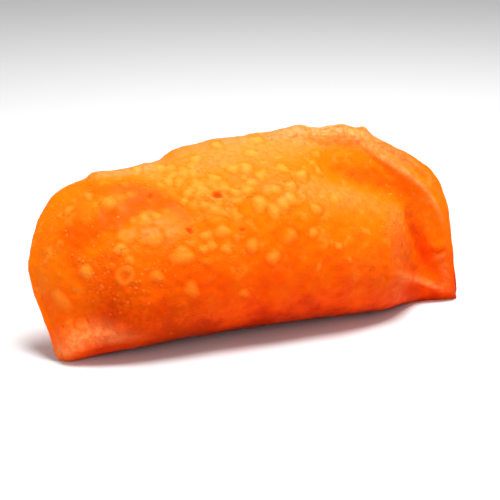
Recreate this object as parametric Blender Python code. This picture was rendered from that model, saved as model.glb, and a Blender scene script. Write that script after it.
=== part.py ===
"""A whole fried turnover: one round of thin rice dough folded over its filling and sealed along a half-moon.

It stands on its fold with the sealed edge up. The filling has settled, so the belly is widest low down and
its underside is a flat strip. X runs along the fold, -Y is the broad front, +Z is up, and the origin is on
the floor below the middle of the box. The turnover is uncut, so it is one solid.
"""

import math
import random
from dataclasses import dataclass

import bmesh
import bpy
import numpy as np

MM = 0.001

# The half-moon, square on to its broad face, as (x, z). The fold runs along the floor between the corners.
LEFT_CORNER = (-92.2 * MM, 0.4 * MM)
RIGHT_CORNER = (99.4 * MM, 2.6 * MM)
SEAM_BENDS = (
    (-94.3 * MM, 12.5 * MM),
    (-98 * MM, 28 * MM),
    (-95 * MM, 45.5 * MM),
    (-86.2 * MM, 60.6 * MM),
    (-71 * MM, 67.8 * MM),
    (-65.5 * MM, 70.3 * MM),
    (-47 * MM, 71.2 * MM),
    (-37 * MM, 73 * MM),
    (-30.5 * MM, 76.3 * MM),
    (-20 * MM, 78 * MM),
    (12 * MM, 80.6 * MM),
    (45 * MM, 81.2 * MM),
    (62 * MM, 76.8 * MM),
    (78 * MM, 68.4 * MM),
    (90.2 * MM, 59 * MM),
    (96.7 * MM, 46 * MM),
    (98.4 * MM, 22 * MM),
)
FOLD_SETTLES = 16 * MM

# The sealed flap that runs round the seam: two layers of dough pressed together.
FLAP_HALF = 1.6 * MM
FLAP_EDGE_HALF = 0.8 * MM

# The edge of the flap wanders all along, and is frilled where the two layers were pinched at the top. Each crest
# of the frill is (x, half width, rise), in mm.
EDGE_WANDER = 0.25 * MM
FRILL_CRESTS = ((29.5, 6, 1.2), (49, 6.5, 1.4), (58.4, 2.8, 1.9))

# Sizes below that change along the turnover are given in mm at these stations of x, also in mm.
STATIONS = (-86, -50, 8, 54, 88)

# The belly: how far in from the flap it is full, and the height where it is widest.
BELLY_REACH = (47, 47, 47, 48, 36)
BELLY_HEIGHT = 25 * MM
BELLY_DROP = 25.7 * MM

# How far the seam's plane leaves y = 0.
SEAM_HEIGHT = 81 * MM
SEAM_LEAN = 17 * MM
EDGE_CURL = (6, 6, 6, 0, 0)
CURL_WIDTH = 14 * MM
FOLD_BOW = 5 * MM
LEFT_FLARE = 12 * MM
RIGHT_FLARE = 6 * MM
FLAP_SWAY = 1.2 * MM

# The hem of folded dough that runs along the floor to each corner: how far it stands out, and its height.
HEM_HALF = (1.8, 0.6, 0, 0.6, 3)
HEM_MIDDLE = 6 * MM
HEM_RISE = 5.5 * MM


@dataclass(frozen=True)
class Side:
    """One layer of the folded dough.

    The bulge, flap and roundness are given at the stations. Each crease is (path of x and z, rise, half width),
    all in mm, and a valley has a negative rise.
    """

    outward: int
    bulge: tuple
    flap: tuple
    roundness: tuple
    creases: tuple
    seed: int


FRONT = Side(
    outward=-1,
    bulge=(24, 31.5, 32, 29.5, 15),
    flap=(2.5, 2.5, 2.5, 8, 15.5),
    roundness=(0.74, 0.74, 0.76, 1.5, 1.6),
    creases=(
        (((46, 82), (55, 76.5), (61, 71), (69, 65), (78, 58.5), (85, 52), (90, 44), (93, 36), (94.5, 27)), 2.0, 2.8),
        (((46, 76), (53, 72), (58, 68), (66, 61.5), (74, 55.5)), 1.1, 3.2),
        (((30, 68), (42, 63.5), (49, 60.5), (56, 58), (63, 54), (69, 48.5), (73, 43)), -3.0, 6.5),
        (((74, 46), (76.5, 37), (80.5, 29), (83, 21.5), (87, 13)), -3.2, 3.4),
        (((68, 42), (71, 33), (74, 24), (78, 17)), 1.0, 4.5),
        (((84, 27), (95, 22.5)), 2.8, 4.6),
        (((56, 24), (63, 20), (70, 16), (78, 11.5), (87, 7), (96, 4)), 2.8, 2.4),
        (((-76, 66), (-70, 61.5), (-64, 58), (-55, 60), (-48, 62), (-38, 60), (-31, 57)), -2.8, 4.2),
        (((-67, 54), (-55, 55), (-46, 51), (-37, 46)), 1.8, 7.0),
        (((-71, 57), (-74, 49), (-77, 44), (-80, 40)), -1.6, 4.5),
        (((-97, 6), (-90, 8.5), (-82, 11), (-72, 12.5), (-58, 15)), 3.0, 4.0),
        (((-88, 19), (-78, 21), (-64, 22)), -1.5, 4.5),
    ),
    seed=23,
)
BACK = Side(
    outward=1,
    bulge=(12, 19, 20, 18.5, 9.5),
    flap=(9, 9, 9, 10.5, 18.5),
    roundness=(0.95, 0.95, 0.95, 0.95, 0.95),
    creases=(
        (((-60, 60), (-20, 52), (8, 38)), -1.8, 6.0),
        (((20, 66), (52, 60), (82, 46)), 1.6, 4.5),
        (((-84, 42), (-76, 24), (-82, 10)), -1.8, 4.0),
    ),
    seed=31,
)

# Lumps of filling under the dough: broad and low, as (least, most) radius and rise.
LUMPS_A_SIDE = 26
LUMP_RADIUS = (9 * MM, 17 * MM)
LUMP_RISE = (-1.0 * MM, 1.3 * MM)

# Blisters that frying raised: low domes, scattered but clear of each other.
BLISTERS_A_SIDE = 64
BLISTER_RADIUS = (2.4 * MM, 5.2 * MM)
BLISTER_RISE = 0.22
BLISTER_GAP = 1.2

# The mesh: rings across the half-moon, and points from the fold to the seam on each side.
RINGS = 100
STEPS_UP = 27
STEPS_UNDER = 3
CREASE_SAMPLES = 60

DOUGH_COLOUR = (1.0, 0.22, 0.012, 1.0)
DOUGH_ROUGHNESS = 0.38


def smooth_step(low, high, value):
    """0 below low, 1 above high, and an easy curve between."""
    share = np.clip((value - low) / (high - low), 0.0, 1.0)
    return share * share * (3 - 2 * share)


def bump(value, centre, width):
    """A soft hill, 1 high at the centre."""
    return np.exp(-(((value - centre) / width) ** 2))


def smooth_path(bends, count):
    """Points at even spacing along one smooth curve through the bends."""
    bends = np.array(bends, float)
    held = np.concatenate([2 * bends[:1] - bends[1:2], bends, 2 * bends[-1:] - bends[-2:-1]])
    share = np.linspace(0, 1, 24, endpoint=False)[:, None]
    spans = []
    for a, b, c, d in zip(held, held[1:], held[2:], held[3:]):
        curve = 2 * b + (c - a) * share + (2 * a - 5 * b + 4 * c - d) * share**2
        spans.append(0.5 * (curve + (3 * b - a - 3 * c + d) * share**3))
    fine = np.concatenate([*spans, bends[-1:]])
    walked = np.concatenate([[0], np.cumsum(np.linalg.norm(np.diff(fine, axis=0), axis=1))])
    at = np.linspace(0, walked[-1], count)
    return np.stack([np.interp(at, walked, fine[:, axis]) for axis in (0, 1)], axis=1)


def seam_line(count):
    """The sealed edge from corner to corner, with its wander and its frill."""
    line = smooth_path([LEFT_CORNER, *SEAM_BENDS, RIGHT_CORNER], count)
    tangent = np.gradient(line, axis=0)
    tangent /= np.linalg.norm(tangent, axis=1)[:, None]
    outward = np.stack([-tangent[:, 1], tangent[:, 0]], axis=1)
    x, z = line[:, 0], line[:, 1]
    at = np.linspace(0, 2 * math.pi, count)
    wander = EDGE_WANDER * (np.sin(9 * at + 0.6) + 0.7 * np.sin(17 * at + 2.1) + 0.4 * np.sin(29 * at))
    frill = sum(rise * MM * bump(x, crest * MM, half_width * MM) for crest, half_width, rise in FRILL_CRESTS)
    above_corners = smooth_step(6 * MM, 20 * MM, z)
    return line + outward * ((wander + frill) * above_corners)[:, None]


SEAM_SAMPLES = 400
SEAM = seam_line(SEAM_SAMPLES)
SEAM_SPACING = np.linalg.norm(SEAM[1] - SEAM[0])


def soft_seam_distance(x, z):
    """The distance to the seam, with no crease where two stretches of seam are equally near.

    It sums the fifth powers of closeness, which gives the plain distance beside a straight seam.
    """
    away = np.hypot(x[..., None] - SEAM[:, 0], z[..., None] - SEAM[:, 1])
    closeness = SEAM_SPACING * (1 / np.hypot(away, 0.3 * SEAM_SPACING) ** 5).sum(axis=-1)
    return (4 / 3 / closeness) ** 0.25


def along(x, sizes):
    """The size at x, easing from each station's to the next's."""
    size = float(sizes[0])
    for start, end, before, after in zip(STATIONS, STATIONS[1:], sizes, sizes[1:]):
        size = size + (after - before) * smooth_step(start * MM, end * MM, x)
    return size * MM


def plane_y(x, z, edge):
    """The y of the seam's plane: it leans and curls back at the top, and both corners flare to the front."""
    lean = SEAM_LEAN * (np.clip(z, 0, None) / SEAM_HEIGHT) ** 2
    curl = along(x, EDGE_CURL) * np.clip(1 - edge / CURL_WIDTH, 0, 1) ** 2 * smooth_step(12 * MM, 34 * MM, z)
    bow = FOLD_BOW * bump(x, 0, 60 * MM) * bump(z, 0, 36 * MM)
    left = LEFT_FLARE * bump(x, LEFT_CORNER[0], 26 * MM) * bump(z, 0, 20 * MM)
    right = RIGHT_FLARE * bump(x, RIGHT_CORNER[0], 17 * MM) * bump(z, 0, 26 * MM)
    sway = FLAP_SWAY * np.sin(x / (11 * MM)) * np.sin(z / (17 * MM) + 1.3)
    return lean + curl + bow - left - right + sway * (1 - smooth_step(4 * MM, 20 * MM, edge))


def half_thickness(x, z, edge, side):
    """How far one side's dough stands off the seam's plane."""
    inward = np.clip((edge - along(x, side.flap)) / along(x, BELLY_REACH), 0, 1)
    rise = (1 - (1 - inward) ** 2) ** (along(x, side.roundness) / MM)
    below = np.clip((BELLY_HEIGHT - z) / BELLY_DROP, 0, 1)
    settled = np.sqrt(1 - below**2)
    flap = FLAP_EDGE_HALF + (FLAP_HALF - FLAP_EDGE_HALF) * smooth_step(0, 3 * MM, edge)
    hem = along(x, HEM_HALF) * smooth_step(0, 4 * MM, edge) * bump(z, HEM_MIDDLE, HEM_RISE)
    return flap + hem + along(x, side.bulge) * rise * settled


def lump_relief(x, z, seed):
    """The low rise and fall of the dough over its filling."""
    draw = random.Random(seed)
    relief = np.zeros(x.shape)
    for _ in range(LUMPS_A_SIDE):
        centre_x = draw.uniform(-80, 80) * MM
        centre_z = draw.uniform(8, 66) * MM
        radius = draw.uniform(*LUMP_RADIUS)
        rise = draw.uniform(*LUMP_RISE)
        relief += rise * np.exp(-((x - centre_x) ** 2 + (z - centre_z) ** 2) / radius**2)
    return relief


def crease_relief(x, z, creases):
    """The ridges and valleys of one side, each fading in and out along its path."""
    relief = np.zeros(x.shape)
    fade = np.sin(np.linspace(0.03, 0.97, CREASE_SAMPLES) * math.pi) ** 0.7
    for path, rise, half_width in creases:
        line = smooth_path(np.array(path) * MM, CREASE_SAMPLES)
        away = np.hypot(x[..., None] - line[:, 0], z[..., None] - line[:, 1])
        relief += rise * MM * fade[away.argmin(axis=-1)] * bump(away.min(axis=-1), 0, half_width * MM)
    return relief


def scattered_blisters(seed):
    """Blisters for one side as (x, z, radius), apart from each other and off the flap's edge."""
    draw = random.Random(seed)
    found = []
    while len(found) < BLISTERS_A_SIDE:
        x = draw.uniform(-86, 84) * MM
        z = draw.uniform(14, 72) * MM
        radius = draw.uniform(*BLISTER_RADIUS) * draw.uniform(0.75, 1)
        inside = soft_seam_distance(np.array(x), np.array(z)) > 6 * MM
        apart = all(math.hypot(x - a, z - b) > BLISTER_GAP * (radius + c) for a, b, c in found)
        if inside and apart and z < np.interp(x, SEAM[:, 0], SEAM[:, 1]):
            found.append((x, z, radius))
    return found


def blister_relief(x, z, blisters):
    """The domes of the blisters, as a rise off the dough."""
    relief = np.zeros(x.shape)
    for centre_x, centre_z, radius in blisters:
        away = np.hypot(x - centre_x, z - centre_z) / radius
        relief = np.maximum(relief, BLISTER_RISE * radius * np.clip(1 - away**2, 0, 1))
    return relief


def side_points(share, climb, side):
    """Points of one side. share runs from corner to corner, and climb from the fold to the seam."""
    fold_x = LEFT_CORNER[0] + share * (RIGHT_CORNER[0] - LEFT_CORNER[0])
    from_corner = np.minimum(fold_x - LEFT_CORNER[0], RIGHT_CORNER[0] - fold_x)
    fold_z = LEFT_CORNER[1] * (1 - smooth_step(0, FOLD_SETTLES, from_corner))
    fold = np.stack([fold_x, fold_z], axis=1)
    at = share * (SEAM_SAMPLES - 1)
    seam = np.stack([np.interp(at, range(SEAM_SAMPLES), SEAM[:, axis]) for axis in (0, 1)], axis=1)
    place = fold[:, None] + climb[None, :, None] * (seam - fold)[:, None]
    x, z = place[..., 0], place[..., 1]
    edge = soft_seam_distance(x, z)
    off_floor = smooth_step(0, 8 * MM, z) * smooth_step(0, 4 * MM, edge)
    relief = crease_relief(x, z, side.creases) + lump_relief(x, z, side.seed)
    relief += blister_relief(x, z, scattered_blisters(side.seed))
    stand = half_thickness(x, z, edge, side) + off_floor * relief
    return np.stack([x, plane_y(x, z, edge) + side.outward * stand, z], axis=-1)


def turnover_rings():
    """Closed rings of points from the left corner to the right one, over the middle of their box's base."""
    eased = (1 - np.cos(np.linspace(0.05, 0.955, RINGS) * math.pi)) / 2
    share = 0.45 * eased + 0.55 * np.linspace(eased[0], eased[-1], RINGS)
    even = np.linspace(0, 1, STEPS_UP)
    climb = even - 0.055 * np.sin(2 * math.pi * even)
    front = side_points(share, climb[::-1], FRONT)
    back = side_points(share, climb, BACK)
    across = np.linspace(0, 1, STEPS_UNDER + 2)[1:-1, None]
    under = front[:, -1:] + across[None] * (back[:, :1] - front[:, -1:])
    points = np.concatenate([front, under, back], axis=1)
    low = points.min(axis=(0, 1))
    middle = (low + points.max(axis=(0, 1))) / 2
    return points - (middle[0], middle[1], low[2])


def dough_material():
    """Orange fried dough with a little oil on it."""
    material = bpy.data.materials.new("fried_dough")
    material.use_nodes = True
    shader = material.node_tree.nodes["Principled BSDF"]
    shader.inputs["Base Color"].default_value = DOUGH_COLOUR
    shader.inputs["Roughness"].default_value = DOUGH_ROUGHNESS
    shader.inputs["Metallic"].default_value = 0.0
    return material


def turnover():
    """The whole turnover as one closed mesh: its rings joined, and each corner filled."""
    bm = bmesh.new()
    rings = [[bm.verts.new(point) for point in ring] for ring in turnover_rings()]
    for ring, after in zip(rings, rings[1:]):
        for here in range(len(ring)):
            there = (here + 1) % len(ring)
            bm.faces.new((ring[here], ring[there], after[there], after[here]))
    bm.faces.new(rings[0][::-1])
    bm.faces.new(rings[-1])
    bmesh.ops.recalc_face_normals(bm, faces=bm.faces)
    mesh = bpy.data.meshes.new("empanada")
    bm.to_mesh(mesh)
    bm.free()
    mesh.shade_smooth()
    mesh.materials.append(dough_material())
    piece = bpy.data.objects.new("empanada", mesh)
    bpy.context.scene.collection.objects.link(piece)
    return piece


def main():
    """Clears the scene and builds the turnover."""
    for old in list(bpy.data.objects):
        bpy.data.objects.remove(old)
    turnover()


main()
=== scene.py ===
"""Looks of one whole fried turnover: its dough shell with blisters and burst bubbles, and its fine bubbles.

The shell is worked out from the sizes that the solid has, in the solid's own frame: X along the fold, -Y out
of the broad front, +Z up to the sealed edge. Its sizes are in mm, and are multiplied by MM where they are
used. Sizes in materials, lights and the camera are in metres.
"""

from __future__ import annotations

import logging
import math
import random
from dataclasses import dataclass, field
from enum import Enum
from typing import ClassVar

import bpy
import numpy as np
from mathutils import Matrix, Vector
from mathutils.kdtree import KDTree

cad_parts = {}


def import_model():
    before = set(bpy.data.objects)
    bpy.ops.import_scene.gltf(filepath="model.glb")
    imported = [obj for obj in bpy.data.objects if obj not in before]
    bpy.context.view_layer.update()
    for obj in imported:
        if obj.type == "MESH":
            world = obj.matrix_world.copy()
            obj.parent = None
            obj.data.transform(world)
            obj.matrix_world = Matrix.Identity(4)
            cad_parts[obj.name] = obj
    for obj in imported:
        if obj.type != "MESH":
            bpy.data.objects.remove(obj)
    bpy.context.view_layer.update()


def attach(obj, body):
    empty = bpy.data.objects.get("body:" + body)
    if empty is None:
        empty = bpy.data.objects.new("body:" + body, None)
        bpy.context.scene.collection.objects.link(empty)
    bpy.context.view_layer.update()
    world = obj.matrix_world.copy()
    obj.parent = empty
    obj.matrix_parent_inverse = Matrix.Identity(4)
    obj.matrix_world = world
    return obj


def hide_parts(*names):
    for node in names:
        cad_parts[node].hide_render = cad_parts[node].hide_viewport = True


MM = 0.001
SOLID = "empanada"
BODY = "root"
FULL_TURN = 6.28
UPWARD = (0, 0.3, 1.0)

Array = np.ndarray
Pair = tuple[float, float]
Triple = tuple[float, float, float]
Colour = Triple

log = logging.getLogger("turnover")


def smooth_step(low: float, high: float, value: Array) -> Array:
    """Eases from 0 to 1.

    Args:
        low: The value below which the result is 0.
        high: The value above which the result is 1.
        value: The values to ease.

    Returns:
        The eased values.
    """
    share = np.clip((value - low) / (high - low), 0.0, 1.0)
    return share * share * (3 - 2 * share)


def ramp(span: Pair, value: Array) -> Array:
    """Eases from 0 to 1 over a span that is given in mm, for values in metres."""
    return smooth_step(span[0] * MM, span[1] * MM, value)


def bump(value: Array, centre: float, width: float) -> Array:
    """A soft hill, 1 high at the centre."""
    return np.exp(-(((value - centre) / width) ** 2))


def add_piece(name: str, corners: list, faces: list) -> bpy.types.Object:
    """Puts a smooth mesh in the scene.

    Args:
        name: The name of the object and of its mesh.
        corners: The mesh's points.
        faces: The points of each face.

    Returns:
        The object.
    """
    mesh = bpy.data.meshes.new(name)
    mesh.from_pydata(corners, [], faces)
    mesh.shade_smooth()
    piece = bpy.data.objects.new(name, mesh)
    bpy.context.scene.collection.objects.link(piece)
    return piece


def smooth_path(bends: tuple[Pair, ...], count: int) -> Array:
    """Runs one smooth curve through the bends.

    Args:
        bends: The points that the curve passes through.
        count: How many points to return.

    Returns:
        Points at even spacing along the curve, one a row.
    """
    held = np.array(bends, float)
    held = np.concatenate([2 * held[:1] - held[1:2], held, 2 * held[-1:] - held[-2:-1]])
    share = np.linspace(0, 1, 24, endpoint=False)[:, None]
    spans = []
    for a, b, c, d in zip(held, held[1:], held[2:], held[3:]):
        curve = 2 * b + (c - a) * share + (2 * a - 5 * b + 4 * c - d) * share**2
        spans.append(0.5 * (curve + (3 * b - a - 3 * c + d) * share**3))
    fine = np.concatenate([*spans, held[-2:-1]])
    walked = np.concatenate([[0], np.cumsum(np.linalg.norm(np.diff(fine, axis=0), axis=1))])
    at = np.linspace(0, walked[-1], count)
    return np.stack([np.interp(at, walked, fine[:, axis]) for axis in (0, 1)], axis=1)


@dataclass(frozen=True)
class Stations:
    """Places along x where the sizes that change along the turnover are given."""

    x: tuple[float, ...] = (-86, -50, 8, 54, 88)

    def size(self, x: Array, sizes: tuple[float, ...]) -> Array:
        """Eases from each station's size to the next's.

        Args:
            x: Where the size is wanted, in metres.
            sizes: One size for each station.

        Returns:
            The size at each x, in the unit of the sizes.
        """
        size = np.full(np.shape(x), float(sizes[0]))
        for start, end, before, after in zip(self.x, self.x[1:], sizes, sizes[1:]):
            size = size + (after - before) * smooth_step(start * MM, end * MM, x)
        return size


@dataclass(frozen=True)
class HalfMoon:
    """The half-moon, square on to its broad face, as x and z.

    A wave of the sealed edge is how many of it run round, its strength and its start. A crest of the frill is
    its x, its half width and its rise.
    """

    left_corner: Pair = (-92.2, 0.4)
    right_corner: Pair = (99.4, 2.6)
    seam_bends: tuple[Pair, ...] = (
        *((-94.3, 12.5), (-98, 28), (-95, 45.5), (-86.2, 60.6), (-71, 67.8), (-65.5, 70.3), (-47, 71.2)),
        *((-37, 73), (-30.5, 76.3), (-20, 78), (12, 80.6), (45, 81.2), (62, 76.8), (78, 68.4), (90.2, 59)),
        *((96.7, 46), (98.4, 22)),
    )
    fold_settles: float = 16
    edge_wander: float = 0.25
    edge_waves: tuple[Triple, ...] = ((9, 1.0, 0.6), (17, 0.7, 2.1), (29, 0.4, 0.0))
    frill_crests: tuple[Triple, ...] = ((29.5, 6, 1.2), (49, 6.5, 1.4), (58.4, 2.8, 1.9))
    corners_stay: Pair = (6, 20)
    samples: int = 400

    def seam(self) -> Array:
        """Draws the sealed edge from corner to corner, with its wander and its frill.

        Returns:
            Points of x and z in metres, one a row.
        """
        line = smooth_path((self.left_corner, *self.seam_bends, self.right_corner), self.samples) * MM
        along = np.gradient(line, axis=0)
        along /= np.linalg.norm(along, axis=1)[:, None]
        outward = np.stack([-along[:, 1], along[:, 0]], axis=1)
        x, z = line[:, 0], line[:, 1]
        at = np.linspace(0, 2 * math.pi, self.samples)
        wander = sum(strength * np.sin(waves * at + start) for waves, strength, start in self.edge_waves)
        frill = sum(rise * bump(x, crest * MM, half * MM) for crest, half, rise in self.frill_crests)
        rise = (self.edge_wander * wander + frill) * MM * ramp(self.corners_stay, z)
        return line + outward * rise[:, None]


@dataclass(frozen=True)
class Stroke:
    """Something that runs along a path on a layer, and fades beside the path and towards its ends."""

    path: tuple[Pair, ...]
    amount: float
    half_width: float
    samples: int = 60
    run: Pair = (0.03, 0.97)
    end_fade: float = 0.7

    def spread(self, x: Array, z: Array) -> Array:
        """Measures how much of the stroke each place gets.

        Args:
            x: Places along the turnover, in metres.
            z: Heights, in metres.

        Returns:
            The stroke's amount on the path, and less beside it.
        """
        line = smooth_path(self.path, self.samples) * MM
        fade = np.sin(np.linspace(*self.run, self.samples) * math.pi) ** self.end_fade
        away = np.hypot(x[..., None] - line[:, 0], z[..., None] - line[:, 1])
        return self.amount * fade[away.argmin(axis=-1)] * bump(away.min(axis=-1), 0, self.half_width * MM)


class Crease(Stroke):
    """A ridge of the dough, by its rise, or a valley where that is negative."""


class Shade(Stroke):
    """A stretch of painted light, up to 1, or painted shade, down to -1: paler on lit ridges, ledges and top
    bands, deeper in creases, valleys and under ledges; a few are paler crust.
    """


class BlisterKind(Enum):
    """The forms that a bubble in the dough takes."""

    DOME = "dome"
    CRESCENT = "crescent"
    RING = "ring"
    BURST = "burst"


@dataclass(frozen=True)
class Blister:
    """One bubble that frying raised in the dough, by its place on a layer.

    The rise is a share of the radius, and so is each place and width in the forms below.
    """

    x: float
    z: float
    radius: float
    kind: BlisterKind = BlisterKind.DOME
    rise: float = 0.2
    paleness: float = 1.0
    soft_power: ClassVar[float] = 1.2
    dome_power: ClassVar[float] = 1.25
    crescent_side: ClassVar[Pair] = (-0.4, 0.6)
    ring_rim: ClassVar[Pair] = (0.66, 0.24)
    ring_paleness: ClassVar[float] = 0.6
    burst_rim: ClassVar[Pair] = (1.0, 0.25)
    burst_hole: ClassVar[Pair] = (0.35, 0.8)
    burst_sink: ClassVar[float] = 0.25
    burst_paleness: ClassVar[float] = 0.25
    burst_rise: ClassVar[float] = 0.3
    least_strength: ClassVar[float] = 0.5
    strength_grows: ClassVar[float] = 5
    ring_unevenness: ClassVar[float] = 0.3

    def profile(self, away: Array, side: Array) -> tuple[Array, Array, Array]:
        """Works out the bubble's form.

        Args:
            away: Distance from the middle, as a share of the radius.
            side: How far to one side of the middle, as a share of the radius.

        Returns:
            The height as a share of the radius, how much of a blister it is, and how much of a hole.
        """
        soft = np.clip(1 - away**2, 0, 1) ** self.soft_power
        dome = soft**self.dome_power
        none = np.zeros(away.shape)
        if self.kind is BlisterKind.DOME:
            return self.rise * dome, soft, none
        if self.kind is BlisterKind.CRESCENT:
            lit = smooth_step(*self.crescent_side, side)
            return self.rise * dome * lit, soft * lit, none
        if self.kind is BlisterKind.RING:
            rim = bump(away, *self.ring_rim)
            return self.rise * rim, self.ring_paleness * rim, none
        hole = 1 - smooth_step(*self.burst_hole, away)
        rim = bump(away, *self.burst_rim)
        return self.burst_rise * self.rise * rim - self.burst_sink * hole, self.burst_paleness * rim, hole

    def strength(self) -> float:
        """How pale the bubble is in its middle, which is less for a small one."""
        return self.paleness * min(1.0, self.least_strength + self.radius / self.strength_grows)

    def unevenness(self) -> float:
        """How far the bubble is from round, as a share of the usual."""
        return self.ring_unevenness if self.kind is BlisterKind.RING else 1.0


@dataclass(frozen=True)
class Stain:
    """A darker patch of browned dough; the broad low ones on the front are painted shade."""

    x: float
    z: float
    radius: float
    depth: float


@dataclass(frozen=True)
class Layer:
    """One layer of the folded dough. Its bulge, flap and roundness are given at the stations."""

    outward: int
    bulge: tuple[float, ...]
    flap: tuple[float, ...]
    roundness: tuple[float, ...]
    creases: tuple[Crease, ...]
    shades: tuple[Shade, ...]
    seed: int
    blisters: tuple[Blister, ...] = ()
    stains: tuple[Stain, ...] = ()


def domes(*places: Triple) -> tuple[Blister, ...]:
    """Makes plain domed blisters, each from its x, z and radius."""
    return tuple(Blister(*place) for place in places)


def stains(*patches: tuple[float, float, float, float]) -> tuple[Stain, ...]:
    """Makes stains, each from its x, z, radius and depth."""
    return tuple(Stain(*patch) for patch in patches)


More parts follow.
